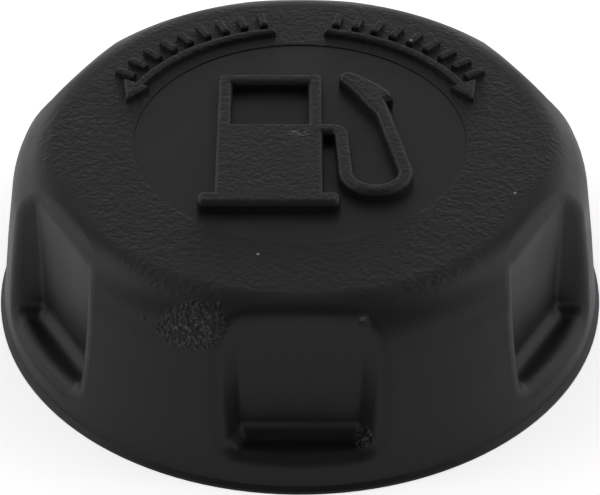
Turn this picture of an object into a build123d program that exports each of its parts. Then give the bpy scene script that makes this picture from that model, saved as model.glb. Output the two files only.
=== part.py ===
from build123d import *
import os
from math import cos, radians, sin, tan

# A vented petrol tank cap. Millimetres, +Z up, origin at the centre of the foot that it stands on.
# The grip's size is built up outwards from the neck that the cap screws onto.

# Neck and thread
neck_thread_radius = 21.6
thread_clearance = 0.4
thread_depth = 1.4
thread_pitch = 4.5
thread_turns = 1.6
thread_crest_width = 0.9
thread_root_width = 2.3
collar_radius = 22.3
collar_clearance = 0.3
pilot_length = 3.0
mouth_recess = 1.0

# Walls of the moulding
thread_wall = 1.9
cell_width = 2.8
grip_wall = 2.2
top_wall = 2.6

# Outside of the grip
cap_height = 19.3
lip_height = 0.3
lip_step = 0.4
skirt_flare = 2.1
waist_flare = 0.8
waist_height = 8.4
shoulder_height = 5.0
shoulder_width = 4.7
shoulder_fullness = 0.5

# Finger pockets
pocket_count = 6
pocket_floor_inset = 2.5
pocket_floor_width = 11.3
pocket_ledge_height = 3.8
pocket_wall_angle = 24.0
pocket_wall_angle_at_top = 66.0
pocket_root_round = 0.8
pocket_ledge_round = 1.5
pocket_edge_round = 1.7

# Top face
disc_radius = 16.6
disc_recess = 0.1
symbol_relief = 1.3
symbol_edge_round = 0.55
mark_relief = 0.7
mark_edge_round = 0.3
mark_stroke = 0.8
mark_inner_radius = 18.2
mark_tick_gap = 0.8
mark_tick_length = 2.1
mark_arc_start = 8.0
mark_arc_end = 71.0
mark_ticks = 9
root_sink = 0.1

# Raised pump symbol, seen from above
pump_left = -8.35
pump_right = 2.3
pump_bottom = -10.6
pump_top = 9.65
pump_frame = 1.5
window_bottom = 1.1
plinth_overhang = 1.6
plinth_depth = 1.4
plinth_corner = 0.7
symbol_corner = 0.5
hose_width = 1.55

# Gasket, and the seat it is pushed into
gasket_thickness = 2.0
gasket_inner_radius = 17.5
gasket_seat_depth = 0.3
gasket_fit = 0.05

# Valve body
flange_thickness = 1.2
flange_gap = 0.1
cup_inner_radius = 9.3
cup_wall = 1.7
cup_floor = 1.0
port_radius = 5.0
seat_lip_radius = 5.8
seat_lip_width = 0.8
seat_lip_height = 0.6
spigot_wall = 1.0
spigot_height = 1.0
slip_fit = 0.05

# Stakes and locating ring under the top wall
stake_count = 4
stake_radius = 0.9
stake_head_radius = 1.6
stake_head_height = 0.9
stake_circle_radius = 14.0
ring_wall = 1.5
ring_height = 1.6
peg_radius = 1.0
peg_head_radius = 1.5
peg_head_height = 0.3

# Vent channels
channel_width = 1.6
channel_depth = 0.8
channel_start_radius = 5.0
channel_drop = 1.1

# Pressure valve
seal_thickness = 1.0
seal_width = 4.35
plate_thickness = 1.0
plate_gap = 0.4
plate_boss_height = 0.6
plate_notches = 6
plate_notch_radius = 0.8
hub_radius = 1.9
air_hole_radius = 0.4
air_hole_circle_radius = 2.35
air_hole_count = 6
spring_ring_width = 0.6
spring_ring_height = 0.6
pressure_wire = 0.6
pressure_turns = 4.5
spring_gap = 0.3
pressure_travel = 1.2

# Vacuum valve
stem_radius = 1.25
stem_fit = 0.05
head_radius = 4.2
head_thickness = 0.7
head_lip_width = 0.8
head_lip_height = 0.4
stem_tail = 0.3
clip_thickness = 0.5
clip_radius = 2.7
clip_groove_depth = 0.3
clip_mouth = 1.3
vacuum_wire = 0.3
vacuum_turns = 3.5
vacuum_spring_length = 2.5
vacuum_spring_gap = 0.2
vacuum_travel = 1.0
travel_spare = 0.2

# Filter and baffle
filter_thickness = 1.7
baffle_wall = 1.3
baffle_floor = 1.0
baffle_depth = 2.2
baffle_slots = 6
baffle_slot_width = 1.2
baffle_slot_length = 3.0
baffle_slot_circle_radius = 5.8

# Worked out from the values above
thread_bore_radius = neck_thread_radius + thread_clearance
pilot_radius = collar_radius + collar_clearance
inner_skirt_radius = thread_bore_radius + thread_wall
shoulder_radius = inner_skirt_radius + cell_width + grip_wall
waist_radius = shoulder_radius + waist_flare
rim_radius = shoulder_radius + skirt_flare
crown_radius = shoulder_radius - shoulder_width
shoulder_start = cap_height - shoulder_height
ceiling = cap_height - top_wall
pilot_top = mouth_recess + pilot_length
disc_top = cap_height - disc_recess
pocket_floor_radius = shoulder_radius - pocket_floor_inset
seat_radius = thread_bore_radius + gasket_seat_depth
gasket_bottom = ceiling - gasket_thickness
cup_radius = cup_inner_radius + cup_wall
flange_radius = gasket_inner_radius - flange_gap
flange_bottom = ceiling - flange_thickness
hub_height = vacuum_spring_length - vacuum_travel - travel_spare
plate_stack = seat_lip_height + seal_thickness + plate_thickness
poppet_stack = vacuum_spring_length + clip_thickness + stem_tail
peg_stack = filter_thickness + peg_head_height
cup_depth = plate_stack + poppet_stack + pressure_travel + travel_spare + peg_stack
cup_floor_top = ceiling - cup_depth
cup_floor_bottom = cup_floor_top - cup_floor
seat_top = cup_floor_top + seat_lip_height
plate_bottom = seat_top + seal_thickness
plate_top = plate_bottom + plate_thickness
plate_radius = cup_inner_radius - plate_gap
boss_radius = air_hole_circle_radius + air_hole_radius + 0.3
spring_mean_radius = cup_inner_radius - slip_fit - ring_wall - spring_gap - pressure_wire / 2
clip_bottom = plate_top + vacuum_spring_length
clip_top = clip_bottom + clip_thickness
vacuum_mean_radius = hub_radius + vacuum_spring_gap + vacuum_wire / 2
filter_bottom = ceiling - filter_thickness
filter_radius = spring_mean_radius - pressure_wire / 2 - spring_gap
spigot_radius = cup_radius - cup_wall
baffle_inner_radius = spigot_radius + slip_fit
baffle_radius = baffle_inner_radius + baffle_wall
baffle_bottom = cup_floor_bottom - baffle_depth


def turned(points):
    """A solid of revolution about Z from an outline of (radius, height) points."""
    outline = make_face(Polyline([(x, 0, z) for x, z in points], close=True))
    return revolve(outline, Axis.Z)


def tube(inner, outer, bottom, top):
    """A plain ring between two heights."""
    return turned([(inner, bottom), (outer, bottom), (outer, top), (inner, top)])


def disc(radius, bottom, top):
    """A plain cylinder between two heights."""
    return Pos(0, 0, (bottom + top) / 2) * Cylinder(radius, top - bottom)


def around(shape, count, start=0.0):
    """Copies of a shape, evenly spaced about Z."""
    return [Rot(0, 0, start + 360.0 * i / count) * shape for i in range(count)]


def sector(inner, outer, start, end):
    """A flat piece of a ring between two angles, in degrees."""
    far = CenterArc((0, 0), outer, start, end - start)
    near = CenterArc((0, 0), inner, start, end - start)
    return make_face([far, near, Line(far @ 0, near @ 0), Line(far @ 1, near @ 1)])


def coil(mean_radius, wire, bottom, top, turns):
    """A round wire wound between two flat faces."""
    height = top - bottom - wire
    path = Pos(0, 0, bottom + wire / 2) * Helix(height / turns, height, mean_radius)
    section = Plane(path @ 0, z_dir=path % 0) * Circle(wire / 2)
    return sweep(section, path, is_frenet=True)


def grip_outside():
    """The outside of the grip before its pockets: lip, flared skirt, shoulder and flat top."""
    foot = Polyline(
        (0, 0, 0),
        (rim_radius, 0, 0),
        (rim_radius, 0, lip_height),
        (rim_radius - lip_step, 0, lip_height + lip_step),
        (waist_radius, 0, waist_height),
        (shoulder_radius, 0, shoulder_start),
    )
    rise = shoulder_fullness * shoulder_height
    lean = waist_flare / (shoulder_start - waist_height)
    shoulder = Bezier(
        (shoulder_radius, 0, shoulder_start),
        (shoulder_radius - lean * rise, 0, shoulder_start + rise),
        (crown_radius + shoulder_fullness * shoulder_width, 0, cap_height),
        (crown_radius, 0, cap_height),
    )
    top = Polyline((crown_radius, 0, cap_height), (0, 0, cap_height), (0, 0, 0))
    return revolve(make_face([foot, shoulder, top]), Axis.Z)


def pocket():
    """What is cut away for the finger pocket at the front: side walls that open out over a ledge."""
    depth = rim_radius - pocket_floor_radius + 2.0
    height = cap_height + 2.0 - pocket_ledge_height
    half = pocket_floor_width / 2
    plans = []
    for z, angle in ((0, pocket_wall_angle), (height, pocket_wall_angle_at_top)):
        wide = half + depth * tan(radians(angle))
        plans.append(make_face(Polyline(
            (-half, 0, z),
            (half, 0, z),
            (wide, -depth, z),
            (-wide, -depth, z),
            close=True,
        )))
    block = loft(plans, ruled=True)
    floor = block.faces().sort_by(Axis.Y)[-1]
    ends = block.faces().sort_by(Axis.Z)
    flat_edges = ends[0].edges() + ends[-1].edges()
    block = fillet([edge for edge in floor.edges() if edge not in flat_edges], pocket_root_round)
    ledge = block.faces().sort_by(Axis.Z)[0]
    front = block.faces().sort_by(Axis.Y)[0]
    block = fillet([edge for edge in ledge.edges() if edge not in front.edges()], pocket_ledge_round)
    return Pos(0, -pocket_floor_radius, pocket_ledge_height) * block


def grip():
    """The outside of the grip with its pockets, their outer edges rounded."""
    plain = grip_outside()
    cutters = around(pocket(), pocket_count)
    cut = plain - cutters
    edges = new_edges(plain, *cutters, combined=cut)
    return fillet(edges, pocket_edge_round)


def cells():
    """The ring-shaped hollow between the two skirts, left solid behind each pocket."""
    hollow = turned([
        (pilot_radius - 1.0, -1.0),
        (rim_radius - grip_wall, -1.0),
        (rim_radius - grip_wall, 0.0),
        (waist_radius - grip_wall, waist_height),
        (shoulder_radius - grip_wall, shoulder_start - 0.5),
        (inner_skirt_radius, ceiling - 0.3),
        (inner_skirt_radius, mouth_recess),
        (pilot_radius - 1.0, mouth_recess),
    ])
    lean = tan(radians(pocket_wall_angle)) * pocket_floor_inset
    width = pocket_floor_width + 2 * (lean + 0.8 * grip_wall)
    bottom = pocket_ledge_height - grip_wall
    height = cap_height - bottom
    backing = Pos(0, -rim_radius, bottom + height / 2) * Box(width, 2 * cell_width + 2 * rim_radius / 3, height)
    for block in around(backing, pocket_count):
        hollow -= block
    return hollow


def thread():
    """The ridge that winds round the inside of the bore."""
    height = thread_pitch * thread_turns
    start = pilot_top + thread_root_width / 2 + 0.05
    path = Pos(0, 0, start) * Helix(thread_pitch, height, thread_bore_radius)
    root = thread_root_width / 2
    crest = thread_crest_width / 2
    outline = make_face(Polyline(
        (0.3, 0, -root),
        (0, 0, -root),
        (-thread_depth, 0, -crest),
        (-thread_depth, 0, crest),
        (0, 0, root),
        (0.3, 0, root),
        close=True,
    ))
    section = Pos(thread_bore_radius, 0, start) * outline
    return sweep(section, path, is_frenet=True)


def pump_symbol():
    """The outline of the raised petrol pump: cabinet, window, plinth, hose and nozzle."""
    width = pump_right - pump_left
    height = pump_top - pump_bottom
    middle = (pump_left + pump_right) / 2
    cabinet = Pos(middle, (pump_top + pump_bottom) / 2) * RectangleRounded(width, height, symbol_corner)
    window_top = pump_top - pump_frame
    window = Pos(middle, (window_top + window_bottom) / 2) * Rectangle(
        width - 2 * pump_frame, window_top - window_bottom
    )
    plinth = Pos(middle, pump_bottom - plinth_depth / 2 + symbol_corner / 2) * RectangleRounded(
        width + 2 * plinth_overhang, plinth_depth + symbol_corner, plinth_corner
    )
    route = FilletPolyline(
        (pump_right - 0.5, 0.35),
        (4.1, 0.35),
        (4.6, -9.6),
        (10.95, -9.6),
        (8.33, 3.1),
        radius=[1.1, 2.75, 2.85],
    )
    hose = trace(route, hose_width)
    along = route % 1
    across = Vector(along.Y, -along.X) * (hose_width / 2)
    outer = route @ 1 + across
    inner = route @ 1 - across
    trigger = Polyline(outer, (8.62, 5.3), (9.4, 5.6), (9.2, 6.6))
    back = Spline((9.2, 6.6), (7.5, 8.45), (5.5, 10.0))
    spout = ThreePointArc((5.5, 10.0), (4.2, 9.8), (4.25, 8.5))
    belly = Spline((4.25, 8.5), (5.2, 7.15), (6.4, 5.0), inner)
    nozzle = make_face([trigger, back, spout, belly, Line(inner, outer)])
    return cabinet - window + plinth + hose + nozzle


def turn_marks():
    """A curved arrow and a row of ticks on each side of the back of the top face."""
    middle = mark_inner_radius + mark_stroke / 2
    head = 3.0 * mark_stroke
    reach = 9.0
    neck_angle = 90 + mark_arc_end - reach
    tip_angle = 90 + mark_arc_end
    step = (neck_angle - 90 - mark_arc_start) / mark_ticks
    marks = sector(mark_inner_radius, mark_inner_radius + mark_stroke, 90 + mark_arc_start, neck_angle)
    tip = (middle * cos(radians(tip_angle)), middle * sin(radians(tip_angle)))
    ends = []
    for r in (middle + head * 0.75, middle - head * 0.5):
        ends.append((r * cos(radians(neck_angle)), r * sin(radians(neck_angle))))
    marks += make_face(Polyline(tip, ends[0], ends[1], close=True))
    tick_middle = mark_inner_radius + mark_stroke + mark_tick_gap + mark_tick_length / 2
    tick = Pos(0, tick_middle) * Rectangle(mark_stroke, mark_tick_length)
    for i in range(mark_ticks):
        marks += Rot(0, 0, mark_arc_start + (i + 0.5) * step) * tick
    return marks + mirror(marks, Plane.YZ)


def raised(outline, surface, relief, edge_round):
    """An outline standing proud of the top face, its top edges rounded."""
    block = extrude(Pos(0, 0, surface - root_sink) * outline, amount=relief + root_sink)
    return fillet(block.edges().group_by(Axis.Z)[-1], edge_round)


def cap_body():
    """The whole black moulding."""
    body = grip()
    body -= cells()
    body -= disc(thread_bore_radius, -1.0, ceiling)
    body -= disc(pilot_radius, -1.0, pilot_top)
    body -= disc(seat_radius, gasket_bottom, ceiling)
    body -= disc(disc_radius, disc_top, cap_height + 1.0)
    body += thread()
    body += raised(pump_symbol(), disc_top, symbol_relief, symbol_edge_round)
    body += raised(turn_marks(), cap_height, mark_relief, mark_edge_round)
    ring_outer = cup_inner_radius - slip_fit
    body += tube(ring_outer - ring_wall, ring_outer, ceiling - ring_height, ceiling + 0.1)
    body += disc(peg_radius, filter_bottom, ceiling + 0.1)
    body += disc(peg_head_radius, filter_bottom - peg_head_height, filter_bottom)
    stake = disc(stake_radius, flange_bottom - 0.1, ceiling + 0.1)
    stake += disc(stake_head_radius, flange_bottom - stake_head_height, flange_bottom)
    body += around(Pos(stake_circle_radius, 0, 0) * stake, stake_count, 45.0)
    end = inner_skirt_radius + 1.2
    length = end - channel_start_radius
    channel = Pos(channel_start_radius + length / 2, 0, ceiling + channel_depth / 2) * Box(
        length, channel_width, channel_depth
    )
    drop_length = end - inner_skirt_radius + 0.5
    drop_height = channel_depth + channel_drop
    channel += Pos(end - drop_length / 2, 0, ceiling + channel_depth - drop_height / 2) * Box(
        drop_length, channel_width, drop_height
    )
    body -= around(channel, 2)
    return body


def neck_gasket():
    """The flat ring that the rim of the neck presses on."""
    return tube(gasket_inner_radius, seat_radius - gasket_fit, gasket_bottom, ceiling)


def valve_body():
    """The flanged cup, with the lip that the valve seals on and the spigot that carries the baffle."""
    body = turned([
        (cup_inner_radius, ceiling),
        (flange_radius, ceiling),
        (flange_radius, flange_bottom),
        (cup_radius, flange_bottom),
        (cup_radius, cup_floor_bottom),
        (spigot_radius, cup_floor_bottom),
        (spigot_radius, cup_floor_bottom - spigot_height),
        (spigot_radius - spigot_wall, cup_floor_bottom - spigot_height),
        (spigot_radius - spigot_wall, cup_floor_bottom),
        (port_radius, cup_floor_bottom),
        (port_radius, cup_floor_top),
        (seat_lip_radius - seat_lip_width / 2, cup_floor_top),
        (seat_lip_radius - seat_lip_width / 2, seat_top),
        (seat_lip_radius + seat_lip_width / 2, seat_top),
        (seat_lip_radius + seat_lip_width / 2, cup_floor_top),
        (cup_inner_radius, cup_floor_top),
    ])
    hole = Pos(stake_circle_radius, 0, 0) * disc(stake_radius + slip_fit, flange_bottom - 1.0, ceiling + 1.0)
    return body - around(hole, stake_count, 45.0)


def pressure_plate():
    """The notched disc with its hub, its boss for the seal and the ring that centres the spring."""
    plate = disc(plate_radius, plate_bottom, plate_top)
    plate += disc(boss_radius, plate_bottom - plate_boss_height, plate_bottom)
    plate += disc(hub_radius, plate_top, plate_top + hub_height)
    ring_outer = spring_mean_radius - pressure_wire / 2 - spring_gap / 2
    plate += tube(ring_outer - spring_ring_width, ring_outer, plate_top, plate_top + spring_ring_height)
    notch = Pos(plate_radius, 0, 0) * disc(plate_notch_radius, plate_bottom - 1.0, plate_top + 1.0)
    plate -= around(notch, plate_notches)
    air_hole = Pos(air_hole_circle_radius, 0, 0) * disc(air_hole_radius, seat_top - 1.0, plate_top + 1.0)
    plate -= around(air_hole, air_hole_count)
    return plate - disc(stem_radius + stem_fit, seat_top - 1.0, plate_top + hub_height + 1.0)


def valve_seal():
    """The rubber washer round the plate's boss."""
    inner = boss_radius + slip_fit
    return tube(inner, inner + seal_width, seat_top, plate_bottom)


def vacuum_poppet():
    """The poppet: a head with a raised lip, and a stem with a groove for its clip."""
    face = seat_top - head_lip_height
    groove = stem_radius - clip_groove_depth
    return turned([
        (0, face - head_thickness),
        (head_radius, face - head_thickness),
        (head_radius, seat_top),
        (head_radius - head_lip_width, seat_top),
        (head_radius - head_lip_width, face),
        (stem_radius, face),
        (stem_radius, clip_bottom),
        (groove, clip_bottom),
        (groove, clip_top),
        (stem_radius, clip_top),
        (stem_radius, clip_top + stem_tail / 2),
        (stem_radius - stem_tail / 2, clip_top + stem_tail),
        (0, clip_top + stem_tail),
    ])


def poppet_clip():
    """The open ring that snaps into the stem's groove."""
    ring = tube(stem_radius - clip_groove_depth, clip_radius, clip_bottom, clip_top)
    mouth = Pos(clip_radius, 0, (clip_bottom + clip_top) / 2) * Box(2 * clip_radius, clip_mouth, 1.0)
    return ring - mouth


def vent_filter():
    """The foam disc on the peg under the top wall."""
    return tube(peg_radius, filter_radius, filter_bottom, ceiling)


def splash_baffle():
    """The slotted cover that slides over the cup's spigot."""
    cover = turned([
        (0, baffle_bottom),
        (baffle_radius, baffle_bottom),
        (baffle_radius, cup_floor_bottom),
        (baffle_inner_radius, cup_floor_bottom),
        (baffle_inner_radius, baffle_bottom + baffle_floor),
        (0, baffle_bottom + baffle_floor),
    ])
    slot = Pos(baffle_slot_circle_radius, 0, baffle_bottom) * extrude(
        SlotOverall(baffle_slot_length, baffle_slot_width), amount=3 * baffle_floor, both=True
    )
    return cover - around(slot, baffle_slots)


parts = {
    "cap_body": cap_body(),
    "neck_gasket": neck_gasket(),
    "valve_body": valve_body(),
    "splash_baffle": splash_baffle(),
    "pressure_plate": pressure_plate(),
    "valve_seal": valve_seal(),
    "pressure_spring": coil(spring_mean_radius, pressure_wire, plate_top, ceiling, pressure_turns),
    "vacuum_poppet": vacuum_poppet(),
    "vacuum_spring": coil(vacuum_mean_radius, vacuum_wire, plate_top, clip_bottom, vacuum_turns),
    "poppet_clip": poppet_clip(),
    "vent_filter": vent_filter(),
}

os.makedirs("parts", exist_ok=True)
for name, shape in parts.items():
    export_step(shape, f"parts/{name}.step")
    print(name, round(shape.volume, 2), shape.is_valid)
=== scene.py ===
# %% [markdown]
# # A vented petrol tank cap
# The real cap is a black moulding that screws onto the neck of a small engine's petrol tank. Under
# its top wall sit a rubber gasket, a foam filter and a small two-way valve of springs and discs.
# These shapes come ready-made from the CAD part. This lesson gives each of them the finish of its
# real material, adds the small marks that moulding and use leave on the top, winds the two springs
# again as pieces of their own, and lights it all.

# %% Load the part that everything is built around
import math

import bmesh
import bpy
from mathutils import Matrix, Vector


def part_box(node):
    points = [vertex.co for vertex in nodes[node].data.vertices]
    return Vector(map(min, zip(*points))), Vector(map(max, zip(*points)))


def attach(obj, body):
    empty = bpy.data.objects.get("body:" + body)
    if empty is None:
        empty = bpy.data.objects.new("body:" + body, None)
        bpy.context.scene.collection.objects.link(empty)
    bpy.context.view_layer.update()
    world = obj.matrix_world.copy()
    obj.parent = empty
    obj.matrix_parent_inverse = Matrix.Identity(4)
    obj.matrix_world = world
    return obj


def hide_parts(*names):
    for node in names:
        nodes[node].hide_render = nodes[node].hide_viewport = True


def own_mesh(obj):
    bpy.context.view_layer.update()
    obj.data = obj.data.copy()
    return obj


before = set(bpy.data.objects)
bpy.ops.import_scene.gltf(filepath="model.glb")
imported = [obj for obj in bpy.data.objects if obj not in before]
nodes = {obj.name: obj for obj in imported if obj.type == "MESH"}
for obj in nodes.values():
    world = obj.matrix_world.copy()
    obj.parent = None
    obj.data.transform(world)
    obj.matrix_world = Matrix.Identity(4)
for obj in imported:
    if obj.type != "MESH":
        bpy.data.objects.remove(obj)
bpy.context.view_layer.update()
scene = bpy.context.scene
print("CAD nodes:", sorted(nodes))

# %% [markdown]
# ## The camera
# A small object looks right from some distance through a long lens, because that keeps its round
# outline from bulging. The camera is placed on a sphere round the cap: an elevation, a distance in
# metres, and a point on the cap's axis that it looks at. A tracking constraint could turn it, but
# straight in front of the cap one turn about X does the same.

# %% Camera
ELEVATION = math.radians(38.44)
DISTANCE = 0.279
AIM = Vector((0, 0, 0.00542))
cam_data = bpy.data.cameras.new("camera")
camera = bpy.data.objects.new("camera", cam_data)
scene.collection.objects.link(camera)
camera.location = AIM + DISTANCE * Vector((0, -math.cos(ELEVATION), math.sin(ELEVATION)))
camera.rotation_euler = (math.pi / 2 - ELEVATION, 0, 0)
cam_data.sensor_width = 36
cam_data.lens = 162.84
cam_data.clip_start = 0.01
scene.camera = camera
print("camera", [round(v, 4) for v in camera.location], "lens", cam_data.lens)

# %% [markdown]
# ## Helpers for materials
# Colours are easiest to name as the hex codes that a paint program shows. The shader works with
# linear light, so one function turns a code into linear values. A second one adds any node: its
# settings come as keywords, and each input takes either a value or another node's output. Inputs
# go by name or by number. In a Map Range, 1 and 2 are the ends of what comes in, and 3 and 4 those
# of what goes out, which are 0 and 1 where nothing is said. A third starts a material, and gives
# its patterns coordinates in millimetres, so that the scale of a pattern is 1 / its real width.

# %% Colours and nodes
MM = 0.001


def linear(code):
    """An sRGB hex colour as linear red, green, blue and alpha."""
    parts = [int(code[i:i + 2], 16) / 255 for i in (1, 3, 5)]
    return [c / 12.92 if c <= 0.04045 else ((c + 0.055) / 1.055) ** 2.4 for c in parts] + [1.0]


def add(tree, kind, inputs=None, **settings):
    """Adds a node, sets its settings, and fills or links its inputs."""
    node = tree.nodes.new(kind)
    for name, value in settings.items():
        setattr(node, name, value)
    for name, value in (inputs or {}).items():
        if isinstance(value, bpy.types.NodeSocket):
            tree.links.new(value, node.inputs[name])
        else:
            node.inputs[name].default_value = value
    return node


def new_material(name):
    """An empty material with its shader, and coordinates in millimetres."""
    material = bpy.data.materials.new(name)
    material.use_nodes = True
    tree = material.node_tree
    tree.nodes.clear()
    shader = add(tree, "ShaderNodeBsdfPrincipled")
    add(tree, "ShaderNodeOutputMaterial", {"Surface": shader.outputs[0]})
    place = add(tree, "ShaderNodeTexCoord")
    to_mm = (1 / MM, 1 / MM, 1 / MM)
    mapping = add(tree, "ShaderNodeMapping", {"Vector": place.outputs["Object"], "Scale": to_mm})
    return material, tree, shader, mapping.outputs[0]


print("black #101011 is", [round(c, 4) for c in linear("#101011")])

# %% [markdown]
# ## The floor
# The cap stands on a pale seamless table. A plain square would do for that, but it would keep all
# light from the underside. So this is a flat ring made from two circles, with its hole hidden
# under the cap's foot, and it is clear when it is looked at from below.

# %% Floor
FLOOR_HOLE = 28.5 * MM
FLOOR_REACH = 6000 * MM
FLOOR_DROP = 0.02 * MM
FLOOR_SIDES = 96
floor_mesh = bpy.data.meshes.new("floor")
bm = bmesh.new()
for rim in (FLOOR_HOLE, FLOOR_REACH):
    bmesh.ops.create_circle(bm, segments=FLOOR_SIDES, radius=rim)
bmesh.ops.bridge_loops(bm, edges=bm.edges[:])
bmesh.ops.translate(bm, verts=bm.verts[:], vec=(0, 0, -FLOOR_DROP))
bmesh.ops.recalc_face_normals(bm, faces=bm.faces[:])
# A flat ring has no inside, so its faces may come out looking down.
if bm.faces[:][0].normal.z < 0:
    bmesh.ops.reverse_faces(bm, faces=bm.faces[:])
print("floor faces", len(bm.faces))
bm.to_mesh(floor_mesh)
bm.free()
floor = bpy.data.objects.new("floor", floor_mesh)
scene.collection.objects.link(floor)

# %% [markdown]
# The paper is matt and pale, and a glow lifts it to white for the camera and through anything
# clear. Reflections see half of that glow, so that the cap's glossy skirt mirrors a bright table
# and stays black. The soft light on the cap gets none of it, and the cap keeps its shadow.

# %% Floor paper
PAPER_COLOUR = "#e2e2e2"
GLOW = 0.62
GLOW_IN_REFLECTIONS = 0.5
paper = bpy.data.materials.new("white seamless paper")
paper.use_nodes = True
tree = paper.node_tree
tree.nodes.clear()
path = add(tree, "ShaderNodeLightPath")
mirrored = add(
    tree, "ShaderNodeMath", {0: path.outputs["Is Glossy Ray"], 1: GLOW_IN_REFLECTIONS},
    operation="MULTIPLY",
)
seen = add(
    tree, "ShaderNodeMath", {0: path.outputs["Is Camera Ray"], 1: mirrored.outputs[0]},
    operation="MAXIMUM",
)
seen = add(
    tree, "ShaderNodeMath", {0: seen.outputs[0], 1: path.outputs["Is Transmission Ray"]},
    operation="MAXIMUM",
)
strength = add(tree, "ShaderNodeMath", {0: seen.outputs[0], 1: GLOW}, operation="MULTIPLY")
glow = add(
    tree, "ShaderNodeEmission", {"Color": linear("#ffffff"), "Strength": strength.outputs[0]},
)
matt = add(tree, "ShaderNodeBsdfDiffuse", {"Color": linear(PAPER_COLOUR)})
both = add(tree, "ShaderNodeAddShader", {0: matt.outputs[0], 1: glow.outputs[0]})
side = add(tree, "ShaderNodeNewGeometry")
clear = add(tree, "ShaderNodeBsdfTransparent")
shown = add(
    tree, "ShaderNodeMixShader",
    {0: side.outputs["Backfacing"], 1: both.outputs[0], 2: clear.outputs[0]},
)
add(tree, "ShaderNodeOutputMaterial", {"Surface": shown.outputs[0]})
floor_mesh.materials.append(paper)
print("floor is", paper.name)

# %% [markdown]
# ## The light
# Black plastic is seen almost only by what it reflects, so its lighting is a matter of what stands
# round it. Two wide soft lamps stand left and right. The room is brightest near the horizon, where
# the pale table runs up into its backdrop, mid grey above that and darker overhead. One end of the
# room, up in front of the cap, is left dark, so that what slopes towards it stays black.

# %% Lamps
LAMP_SIZE = 0.55
LAMP_POWER = 1.4
LAMP_DISTANCE = 0.75
LAMP_ELEVATION = math.radians(40)


def soft_lamp(name, azimuth):
    """A square soft lamp that faces the cap."""
    data = bpy.data.lights.new(name, "AREA")
    data.shape = "SQUARE"
    data.size = LAMP_SIZE
    data.energy = LAMP_POWER
    lamp = bpy.data.objects.new(name, data)
    scene.collection.objects.link(lamp)
    a, e = math.radians(azimuth), LAMP_ELEVATION
    direction = Vector((math.cos(a) * math.cos(e), math.sin(a) * math.cos(e), math.sin(e)))
    lamp.location = LAMP_DISTANCE * direction
    lamp.rotation_euler = lamp.location.to_track_quat("Z", "Y").to_euler()
    lamp.visible_camera = False
    return lamp


lamps = [soft_lamp("lamp_left", 170), soft_lamp("lamp_right", 10)]
print("lamps:", [(lamp.name, lamp.data.energy) for lamp in lamps])

# %% The room's light
# Each stop is the sine of a height above the horizon, with the room's linear colour there.
HORIZON = (0.12, (0.98, 0.98, 1.0, 1))
WALLS = [(0.25, (0.29, 0.29, 0.303, 1)), (0.68, (0.29, 0.29, 0.303, 1))]
CEILING = (0.88, (0.13, 0.13, 0.135, 1))
ROOM_STRENGTH, DARK_STRENGTH = 1.8, 0.33
# The dark end of the room, as a direction, and the cosines between which it grows dark.
DARK_END = (0, -0.783, 0.622)
DARK_FROM, DARK_FULLY = 0.62, 0.88
world = bpy.data.worlds.new("studio")
scene.world = world
world.use_nodes = True
tree = world.node_tree
tree.nodes.clear()
look = add(tree, "ShaderNodeTexCoord")
parts = add(tree, "ShaderNodeSeparateXYZ", {0: look.outputs["Generated"]})
height = add(tree, "ShaderNodeValToRGB", {0: parts.outputs["Z"]})
ramp = height.color_ramp
for stop, (position, colour) in zip(ramp.elements, (HORIZON, CEILING)):
    stop.position, stop.color = position, colour
for position, colour in WALLS:
    ramp.elements.new(position).color = colour
towards = add(
    tree, "ShaderNodeVectorMath", {0: look.outputs["Generated"], 1: DARK_END},
    operation="DOT_PRODUCT",
)
dim = add(
    tree, "ShaderNodeMapRange",
    {0: towards.outputs["Value"], 1: DARK_FROM, 2: DARK_FULLY, 3: ROOM_STRENGTH, 4: DARK_STRENGTH},
)
room = add(
    tree, "ShaderNodeBackground", {"Color": height.outputs[0], "Strength": dim.outputs[0]},
)
add(tree, "ShaderNodeOutputWorld", {"Surface": room.outputs[0]})
scene.view_settings.view_transform = "Standard"
print("room light stops:", [round(stop.position, 2) for stop in ramp.elements])

# %% [markdown]
# ## Moulded polypropylene, the cap itself
# The cap is injection-moulded from black polypropylene. The mould's top was etched with a leather
# grain that covers the ring round the disc and the top of the raised symbol, and fades over the
# shoulder. The disc and the skirt were left smooth, and there the plastic has a soft satin sheen.
# Masks built from the distance to the cap's axis and from the height say where the grain goes, so
# no face has to be picked by hand. Its outer edge is scalloped, nearer to the axis at each of the
# six pockets. All radii and heights here are in millimetres.

# %% Cap material: where the grain goes, by its distance to the axis
DISC_EDGE, GRAIN_START = 16.62, 16.9
GRAIN_END, GRAIN_FULL = 25.6, 24.0
POCKETS = 6
SCALLOP = 1.4
cap_black, tree, shader, where = new_material("moulded polypropylene")
axes = add(tree, "ShaderNodeSeparateXYZ", {0: where})
flat = add(tree, "ShaderNodeCombineXYZ", {0: axes.outputs[0], 1: axes.outputs[1]})
radius = add(tree, "ShaderNodeVectorMath", {0: flat.outputs[0]}, operation="LENGTH")
past_disc = add(
    tree, "ShaderNodeMapRange", {0: radius.outputs["Value"], 1: DISC_EDGE, 2: GRAIN_START},
)
angle = add(
    tree, "ShaderNodeMath", {0: axes.outputs[1], 1: axes.outputs[0]}, operation="ARCTAN2",
)
round_pockets = add(
    tree, "ShaderNodeMath", {0: angle.outputs[0], 1: POCKETS}, operation="MULTIPLY",
)
scallop = add(tree, "ShaderNodeMath", {0: round_pockets.outputs[0]}, operation="COSINE")
reach_out = add(
    tree, "ShaderNodeMath", {0: scallop.outputs[0], 1: -SCALLOP, 2: radius.outputs["Value"]},
    operation="MULTIPLY_ADD",
)
before_edge = add(
    tree, "ShaderNodeMapRange", {0: reach_out.outputs[0], 1: GRAIN_END, 2: GRAIN_FULL},
)
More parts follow.
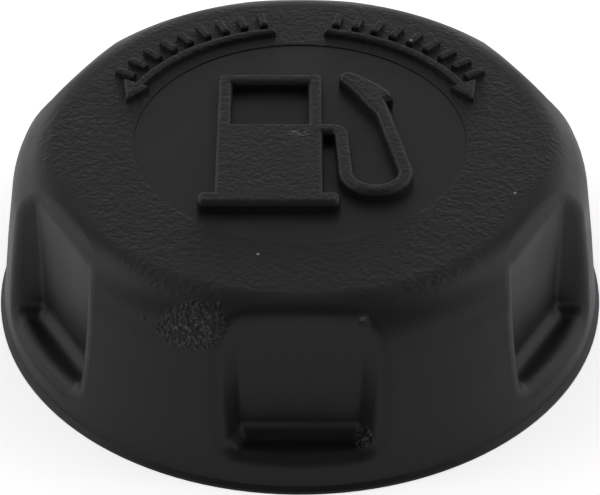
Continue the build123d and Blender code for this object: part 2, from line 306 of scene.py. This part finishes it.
edges = [round(GRAIN_END + side * SCALLOP, 1) for side in (-1, 1)]
print("grain from radius", GRAIN_START, "to", edges[0], "at a pocket and", edges[1], "between")

# %% Cap material: where the grain goes, by its height
SHOULDER_LOW, SHOULDER_HIGH = 18.0, 19.2
SYMBOL_LOW, SYMBOL_HIGH = 20.15, 20.4
SYMBOL_GRAIN = 0.8
on_top = add(
    tree, "ShaderNodeMapRange", {0: axes.outputs[2], 1: SHOULDER_LOW, 2: SHOULDER_HIGH},
)
ring = add(
    tree, "ShaderNodeMath", {0: past_disc.outputs[0], 1: on_top.outputs[0]}, operation="MULTIPLY",
)
ring = add(
    tree, "ShaderNodeMath", {0: ring.outputs[0], 1: before_edge.outputs[0]}, operation="MULTIPLY",
)
raised = add(
    tree, "ShaderNodeMapRange",
    {0: axes.outputs[2], 1: SYMBOL_LOW, 2: SYMBOL_HIGH, 4: SYMBOL_GRAIN},
)
grain_mask = add(
    tree, "ShaderNodeMath", {0: ring.outputs[0], 1: raised.outputs[0]}, operation="MAXIMUM",
)
print("grain fades in from height", SHOULDER_LOW, "to", SHOULDER_HIGH)

# %% [markdown]
# Leather grain is a net of creases between rounded pebbles, here about 0.5 mm wide and some
# 0.05 mm deep. Cut into the mesh it would take a million faces, so it is a bump. A noise gives the
# creases and a smooth cell pattern the pebbles. Both read coordinates that a slower noise has
# pushed about by up to 0.9 mm, which bends their rows.

# %% Cap material: the leather grain
CREASE_WIDTH = 0.526
PEBBLE_WIDTH = 0.556
PEBBLE_SHARE = 0.6
BEND_WIDTH = 1.667
BEND = 0.9
wander = add(
    tree, "ShaderNodeTexNoise", {"Vector": where, "Scale": 1 / BEND_WIDTH, "Detail": 2.0},
)
bent = add(
    tree, "ShaderNodeVectorMath", {0: wander.outputs["Color"], 1: (BEND, BEND, BEND)},
    operation="MULTIPLY",
)
folded = add(tree, "ShaderNodeVectorMath", {0: where, 1: bent.outputs[0]}, operation="ADD")
creases = add(
    tree, "ShaderNodeTexNoise",
    {"Vector": folded.outputs[0], "Scale": 1 / CREASE_WIDTH, "Detail": 3.0, "Roughness": 0.66},
)
pebbles = add(
    tree, "ShaderNodeTexVoronoi", {"Vector": folded.outputs[0], "Scale": 1 / PEBBLE_WIDTH},
    feature="SMOOTH_F1",
)
leather = add(
    tree, "ShaderNodeMath",
    {0: pebbles.outputs["Distance"], 1: -PEBBLE_SHARE, 2: creases.outputs[0]},
    operation="MULTIPLY_ADD",
)
leather_height = add(
    tree, "ShaderNodeMath", {0: leather.outputs[0], 1: grain_mask.outputs[0]},
    operation="MULTIPLY",
)
print("leather grain of", CREASE_WIDTH, "mm")

# %% [markdown]
# Two places on the cap are rough. In front, left of the pocket's upper corner, the mould was
# damaged and left a patch of coarse stipple on the shoulder, about 5 mm wide, with three smaller
# spots at the pocket's right corners. On the middle of the pump, where the plastic was let into
# the mould, the gate broke off and left a small torn scar. A few single specks of grit stand round
# the patch, and three of dust lie on the ring. Each is a mask made from the distance to its middle,
# which needs no picture and stays sharp from close by.

# %% Cap material: the rough patch
# The patch is an oval across x and up z that leans up to the right, and its heights are those at
# x = 0. PATCH_END and PATCH_FULL are in parts of its half width, FRONT_END and FRONT_FULL along y.
PATCH_LEFT, PATCH_RIGHT = -13.2, -7.0
PATCH_LOW, PATCH_HIGH = 17.0, 20.6
PATCH_SLOPE = 0.23
FRONT_END, FRONT_FULL = -22.5, -24.0
PATCH_END, PATCH_FULL = 1.2, 0.35
steep = add(
    tree, "ShaderNodeMath", {0: axes.outputs[0], 1: -PATCH_SLOPE, 2: axes.outputs[2]},
    operation="MULTIPLY_ADD",
)
patch_across = add(
    tree, "ShaderNodeMapRange",
    {0: axes.outputs[0], 1: PATCH_LEFT, 2: PATCH_RIGHT, 3: -1.0, 4: 1.0}, clamp=False,
)
patch_up = add(
    tree, "ShaderNodeMapRange",
    {0: steep.outputs[0], 1: PATCH_LOW, 2: PATCH_HIGH, 3: -1.0, 4: 1.0}, clamp=False,
)
patch_place = add(
    tree, "ShaderNodeCombineXYZ", {0: patch_across.outputs[0], 1: patch_up.outputs[0]},
)
patch_far = add(tree, "ShaderNodeVectorMath", {0: patch_place.outputs[0]}, operation="LENGTH")
patch_ring = add(
    tree, "ShaderNodeMapRange", {0: patch_far.outputs["Value"], 1: PATCH_END, 2: PATCH_FULL},
)
in_front = add(
    tree, "ShaderNodeMapRange", {0: axes.outputs[1], 1: FRONT_END, 2: FRONT_FULL},
)
patch_mask = add(
    tree, "ShaderNodeMath", {0: patch_ring.outputs[0], 1: in_front.outputs[0]},
    operation="MULTIPLY",
)
print("rough patch from x", PATCH_LEFT, "to", PATCH_RIGHT)

# %% Cap material: the gate scar
SCAR_MIDDLE = (-0.15, -0.8, 20.5)
SCAR_SQUEEZE = (1.0, 2.0, 2.0)
SCAR_END, SCAR_FULL = 1.3, 0.5
scar_place = add(
    tree, "ShaderNodeVectorMath", {0: where, 1: SCAR_MIDDLE}, operation="SUBTRACT",
)
scar_squeezed = add(
    tree, "ShaderNodeVectorMath", {0: scar_place.outputs[0], 1: SCAR_SQUEEZE},
    operation="MULTIPLY",
)
scar_far = add(tree, "ShaderNodeVectorMath", {0: scar_squeezed.outputs[0]}, operation="LENGTH")
scar_mask = add(
    tree, "ShaderNodeMapRange", {0: scar_far.outputs["Value"], 1: SCAR_END, 2: SCAR_FULL},
)
rough_mask = add(
    tree, "ShaderNodeMath", {0: patch_mask.outputs[0], 1: scar_mask.outputs[0]},
    operation="MAXIMUM",
)
print("gate scar at", SCAR_MIDDLE)

# %% Cap material: rough spots, and specks of grit and dust
ROUGH_SPOTS = [((5.9, -26.3, 17.7), 0.7), ((6.0, -27.8, 4.7), 1.3), ((9.7, -25.6, 16.8), 0.5)]
ROUGH_SPOT_CORE = 0.4
GRIT = [(-8.2, -22.5, 19.3), (-7.4, -25.1, 18.7), (-14.6, -24.2, 16.2)]
DUST = [(-3.96, -18.47, 19.3), (11.57, 16.41, 20.0), (20.86, -8.98, 19.3)]


def with_spots(mask, middles, end, full):
    """A mask, or None, with round spots added: their middles, and where they end and are full."""
    for middle in middles:
        far = add(tree, "ShaderNodeVectorMath", {0: where, 1: middle}, operation="DISTANCE")
        near = add(tree, "ShaderNodeMapRange", {0: far.outputs["Value"], 1: end, 2: full})
        if mask:
            near = add(
                tree, "ShaderNodeMath", {0: mask.outputs[0], 1: near.outputs[0]},
                operation="MAXIMUM",
            )
        mask = near
    return mask


for middle, end in ROUGH_SPOTS:
    rough_mask = with_spots(rough_mask, [middle], end=end, full=end * ROUGH_SPOT_CORE)
grit_mask = with_spots(None, GRIT, end=0.3, full=0.05)
dust_mask = with_spots(None, DUST, end=0.2, full=0.1)
print("specks:", len(GRIT), "of grit,", len(DUST), "of dust")

# %% Cap material: the stipple
STIPPLE_WIDTH = 0.4
STIPPLE_LOW, STIPPLE_HIGH = 0.35, 0.65
blobs = add(
    tree, "ShaderNodeTexNoise", {"Vector": where, "Scale": 1 / STIPPLE_WIDTH, "Detail": 1.0},
)
# Its middle height is 0, so that the patch has no step round its edge.
stipple = add(
    tree, "ShaderNodeMapRange",
    {0: blobs.outputs[0], 1: STIPPLE_LOW, 2: STIPPLE_HIGH, 3: -0.5, 4: 0.5},
)
stipple_height = add(
    tree, "ShaderNodeMath", {0: stipple.outputs[0], 1: rough_mask.outputs[0]},
    operation="MULTIPLY",
)
print("stipple of", STIPPLE_WIDTH, "mm")

# %% [markdown]
# The bumps are chained: a slow waviness from shrinkage, a fine skin, the leather, the stipple, and
# the specks. Each has its own depth, in millimetres for a height of 1, and a noise uses about half
# of it. The skin is drawn out up the cap's side to twice its width, the way it leaves the mould.
# Its real unevenness would not show at this size, so it is drawn coarser.

# %% Cap material: bumps
WAVE_WIDTH = 6.25
SKIN_WIDTH = 0.385
SKIN_STRETCH = (1.0, 1.0, 0.45)
waves = add(
    tree, "ShaderNodeTexNoise", {"Vector": where, "Scale": 1 / WAVE_WIDTH, "Detail": 1.0},
)
upright = add(tree, "ShaderNodeVectorMath", {0: where, 1: SKIN_STRETCH}, operation="MULTIPLY")
skin = add(
    tree, "ShaderNodeTexNoise",
    {"Vector": upright.outputs[0], "Scale": 1 / SKIN_WIDTH, "Detail": 3.0},
)
DEPTHS = {waves: 0.05, skin: 0.02, leather_height: 0.13, stipple_height: 0.35, grit_mask: 0.07}
bump = None
for pattern, depth in DEPTHS.items():
    bump_inputs = {"Height": pattern.outputs[0], "Strength": 1.0, "Distance": depth * MM}
    if bump:
        bump_inputs["Normal"] = bump.outputs[0]
    bump = add(tree, "ShaderNodeBump", bump_inputs)
tree.links.new(bump.outputs[0], shader.inputs["Normal"])
print("bumps chained:", len(DEPTHS))

# %% [markdown]
# The plastic is a very dark grey in soft clouds. Dust lies pale on it, and where the stipple stands
# up the tips are painted grey, partly for scuffing and partly as a painted highlight where the
# raised tips catch the light. The clouds also vary the satin sheen, and the grain is a little
# duller. Its specular level is half the usual one, because part of the reflection is lost in
# unevenness too fine to draw.

# %% Cap material: colour and sheen
CLOUD_WIDTH = 4.55
CLOUD_LOW, CLOUD_HIGH = 0.3, 0.7
DEEP_BLACK, SOFT_BLACK = "#171717", "#1b1b1b"
DUST_GREY, TIP_SCUFF_AND_HIGHLIGHT_GREY = "#8c8c88", "#454545"
TIP_SCUFF_AND_HIGHLIGHT_LOW, TIP_SCUFF_AND_HIGHLIGHT_HIGH = 0.05, 0.4
SATIN_LOW, SATIN_HIGH = 0.36, 0.44
GRAIN_DULLNESS = 0.12
cloud = add(
    tree, "ShaderNodeTexNoise", {"Vector": where, "Scale": 1 / CLOUD_WIDTH, "Detail": 4.0},
)
tone = add(
    tree, "ShaderNodeMix",
    {"Factor": cloud.outputs[0], "A": linear(DEEP_BLACK), "B": linear(SOFT_BLACK)},
    data_type="RGBA",
)
dusty = add(
    tree, "ShaderNodeMix",
    {"Factor": dust_mask.outputs[0], "A": tone.outputs["Result"], "B": linear(DUST_GREY)},
    data_type="RGBA",
)
# The grey on the raised stipple tips is partly scuffing and partly a painted highlight.
tips = add(
    tree, "ShaderNodeMapRange", {0: stipple_height.outputs[0], 1: TIP_SCUFF_AND_HIGHLIGHT_LOW, 2: TIP_SCUFF_AND_HIGHLIGHT_HIGH},
)
scuff_and_highlight = add(
    tree, "ShaderNodeMix",
    {"Factor": tips.outputs[0], "A": dusty.outputs["Result"], "B": linear(TIP_SCUFF_AND_HIGHLIGHT_GREY)},
    data_type="RGBA",
)
tree.links.new(scuff_and_highlight.outputs["Result"], shader.inputs["Base Color"])
satin = add(
    tree, "ShaderNodeMapRange",
    {0: cloud.outputs[0], 1: CLOUD_LOW, 2: CLOUD_HIGH, 3: SATIN_LOW, 4: SATIN_HIGH},
)
duller = add(
    tree, "ShaderNodeMath", {0: grain_mask.outputs[0], 1: GRAIN_DULLNESS, 2: satin.outputs[0]},
    operation="MULTIPLY_ADD",
)
tree.links.new(duller.outputs[0], shader.inputs["Roughness"])
shader.inputs["IOR"].default_value = 1.49
shader.inputs["Specular IOR Level"].default_value = 0.25
print("cap material nodes:", len(tree.nodes))

# %% [markdown]
# ## The parts inside
# These show when the cap is turned over, and each gets the look of how its real one is made. The
# valve's body, plate and poppet are natural acetal, milky and a little waxy, with faint flow marks.
# In all these materials one pattern varies the colour and the roughness together and a relief
# gives the bumps, so one function joins them up. Its spread is the part of the pattern's values
# over which the roughness changes, and its depth is in millimetres.

# %% Acetal
def give_finish(tree, shader, pattern, colours, spread, roughness, relief, depth):
    """Lets a pattern vary colour and roughness, and a relief raise the surface."""
    tone = add(
        tree, "ShaderNodeMix",
        {"Factor": pattern.outputs[0], "A": linear(colours[0]), "B": linear(colours[1])},
        data_type="RGBA",
    )
    dull = add(
        tree, "ShaderNodeMapRange",
        {0: pattern.outputs[0], 1: spread[0], 2: spread[1], 3: roughness[0], 4: roughness[1]},
    )
    bump = add(
        tree, "ShaderNodeBump",
        {"Height": relief.outputs[0], "Strength": 1.0, "Distance": depth * MM},
    )
    tree.links.new(tone.outputs["Result"], shader.inputs["Base Color"])
    tree.links.new(dull.outputs[0], shader.inputs["Roughness"])
    tree.links.new(bump.outputs[0], shader.inputs["Normal"])


FLOW_WIDTH = 2.86
ACETAL_GRAIN_WIDTH = 0.5
acetal, tree, shader, where = new_material("moulded natural acetal")
flow = add(
    tree, "ShaderNodeTexNoise",
    {"Vector": where, "Scale": 1 / FLOW_WIDTH, "Detail": 3.0, "Distortion": 0.8},
)
grain = add(
    tree, "ShaderNodeTexNoise",
    {"Vector": where, "Scale": 1 / ACETAL_GRAIN_WIDTH, "Detail": 2.0},
)
give_finish(
    tree, shader, flow, colours=("#dedacc", "#ebe8dd"), spread=(0.3, 0.7),
    roughness=(0.32, 0.42), relief=grain, depth=0.006,
)
shader.inputs["IOR"].default_value = 1.48
print("made", acetal.name)

# %% [markdown]
# The splash baffle is black nylon with short glass fibres in it. They lie just under the moulded
# skin, and make it duller than plain nylon, with a fine mottling. Single fibres are a hundredth of
# a millimetre thick, so the mottling is drawn as clumps of them.

# %% Nylon
CLUMP_WIDTH = 0.556
nylon, tree, shader, where = new_material("glass-filled black nylon")
fibres = add(
    tree, "ShaderNodeTexNoise",
    {"Vector": where, "Scale": 1 / CLUMP_WIDTH, "Detail": 4.0, "Roughness": 0.7},
)
give_finish(
    tree, shader, fibres, colours=("#19191a", "#242425"), spread=(0.35, 0.65),
    roughness=(0.42, 0.56), relief=fibres, depth=0.015,
)
shader.inputs["IOR"].default_value = 1.53
print("made", nylon.name)

# %% [markdown]
# The gasket and the valve's seal are moulded nitrile rubber, which is matt, with a grey bloom in
# clouds and a finely pitted skin.

# %% Rubber
BLOOM_WIDTH = 3.33
PIT_WIDTH = 0.333
rubber, tree, shader, where = new_material("moulded nitrile rubber")
bloom = add(
    tree, "ShaderNodeTexNoise",
    {"Vector": where, "Scale": 1 / BLOOM_WIDTH, "Detail": 5.0, "Roughness": 0.6},
)
pits = add(
    tree, "ShaderNodeTexNoise", {"Vector": where, "Scale": 1 / PIT_WIDTH, "Detail": 2.0},
)
give_finish(
    tree, shader, bloom, colours=("#131313", "#2a2a29"), spread=(0.3, 0.7),
    roughness=(0.6, 0.78), relief=pits, depth=0.01,
)
shader.inputs["IOR"].default_value = 1.52
print("made", rubber.name)

# %% [markdown]
# The filter is open-celled polyurethane foam, all pores about 0.8 mm wide between thin webs. A cell
# pattern is deep in the middle of each pore and paler on the webs, and the dark colour in the pores
# is painted shade. Real holes would need a mesh of thousands of struts for a part that hardly
# shows.

# %% Foam
PORE_WIDTH = 0.833
PORE_FLOOR, WEB_TOP = 0.2, 0.55
foam, tree, shader, where = new_material("open-cell polyurethane foam")
pores = add(
    tree, "ShaderNodeTexVoronoi", {"Vector": where, "Scale": 1 / PORE_WIDTH},
    feature="SMOOTH_F1",
)
web_height_and_shade = add(
    tree, "ShaderNodeMapRange", {0: pores.outputs["Distance"], 1: PORE_FLOOR, 2: WEB_TOP},
)
# The dark end of the colours, in the middle of each pore, is painted shade.
give_finish(
    tree, shader, web_height_and_shade, colours=("#141415", "#4e4e50"), spread=(0.0, 1.0),
    roughness=(0.95, 0.75), relief=web_height_and_shade, depth=0.25,
)
shader.inputs["IOR"].default_value = 1.5
print("made", foam.name)

# %% [markdown]
# The springs and the clip are drawn stainless wire, which has fine lines along its length. Here
# they are rings round the spring's axis, because a coil's wire runs almost level. Real drawing
# lines are a few hundredths of a millimetre apart, so these are drawn coarser.

# %% Spring wire
LINE_WIDTH = 0.111
wire, tree, shader, where = new_material("drawn stainless spring wire")
axes = add(tree, "ShaderNodeSeparateXYZ", {0: where})
flat = add(tree, "ShaderNodeCombineXYZ", {0: axes.outputs[0], 1: axes.outputs[1]})
out = add(tree, "ShaderNodeVectorMath", {0: flat.outputs[0]}, operation="LENGTH")
along = add(tree, "ShaderNodeCombineXYZ", {0: out.outputs["Value"], 1: axes.outputs[2]})
lines = add(
    tree, "ShaderNodeTexNoise",
    {"Vector": along.outputs[0], "Scale": 1 / LINE_WIDTH, "Detail": 1.0},
)
give_finish(
    tree, shader, lines, colours=("#9d9c99", "#c4c2be"), spread=(0.3, 0.7),
    roughness=(0.22, 0.36), relief=lines, depth=0.004,
)
shader.inputs["Metallic"].default_value = 1.0
print("made", wire.name)

# %% Give every part its material
MADE_OF = {
    cap_black: ["cap_body"],
    acetal: ["valve_body", "pressure_plate", "vacuum_poppet"],
    nylon: ["splash_baffle"],
    rubber: ["neck_gasket", "valve_seal"],
    wire: ["pressure_spring", "vacuum_spring", "poppet_clip"],
    foam: ["vent_filter"],
}
for material, names in MADE_OF.items():
    for name in names:
        nodes[name].material_slots[0].material = material
        print(name, "is made of", material.name)

# %% [markdown]
# ## The two springs
# Each valve is held shut by a coil spring, which a CAD solid can't shorten when the valve opens.
# So each coil is made again as a piece of its own. A spin with a small rise at every step turns one
# ring of the wire into a coil, and its two open ends are closed. A curve with a round bevel would
# give the same shape, but a spin keeps every ring of faces level with its turn. The piece is then
# parented to the body that holds its fixed end.

# %% Spring coils
WIRE_SIDES = 14
STEPS_A_TURN = 48


def coil(name, mean_radius, wire_width, bottom, top, turns):
    """A round wire wound between two heights, all in millimetres."""
    bm = bmesh.new()
    bmesh.ops.create_circle(bm, segments=WIRE_SIDES, radius=wire_width / 2 * MM)
    upright = Matrix.Rotation(math.pi / 2, 3, "X")
    bmesh.ops.rotate(bm, verts=bm.verts[:], cent=(0, 0, 0), matrix=upright)
    start = Vector((mean_radius, 0, bottom + wire_width / 2)) * MM
    bmesh.ops.translate(bm, verts=bm.verts[:], vec=start)
    steps = round(turns * STEPS_A_TURN)
    rise = (top - bottom - wire_width) / steps
    bmesh.ops.spin(
        bm, geom=bm.verts[:] + bm.edges[:], cent=(0, 0, 0), axis=(0, 0, 1), dvec=(0, 0, rise * MM),
        angle=math.tau * turns, steps=steps, use_merge=False, use_duplicate=False,
    )
    bmesh.ops.holes_fill(bm, edges=bm.edges[:], sides=WIRE_SIDES)
    bmesh.ops.recalc_face_normals(bm, faces=bm.faces[:])
    for face in bm.faces:
        face.smooth = len(face.verts) == 4
    mesh = bpy.data.meshes.new(name)
    bm.to_mesh(mesh)
    bm.free()
    piece = bpy.data.objects.new(name, mesh)
    scene.collection.objects.link(piece)
    mesh.materials.append(wire)
    heights = [v.co.z / MM for v in mesh.vertices]
    low, high = round(min(heights), 2), round(max(heights), 2)
    print(name, "faces", len(mesh.polygons), "from z", low, "to", high)
    return piece


# %% Pressure spring, fixed at its top
spring_low, spring_high = (corner[2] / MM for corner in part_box("pressure_spring"))
pressure_coil = coil(
    "pressure_coil", mean_radius=7.15, wire_width=0.6, bottom=spring_low, top=spring_high,
    turns=4.5,
)
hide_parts("pressure_spring")
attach(pressure_coil, "cap")
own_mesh(pressure_coil)

# %% Vacuum spring, which stands on the pressure plate
spring_low, spring_high = (corner[2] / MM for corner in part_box("vacuum_spring"))
vacuum_coil = coil(
    "vacuum_coil", mean_radius=2.25, wire_width=0.3, bottom=spring_low, top=spring_high,
    turns=3.5,
)
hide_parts("vacuum_spring")
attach(vacuum_coil, "pressure_valve")
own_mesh(vacuum_coil)
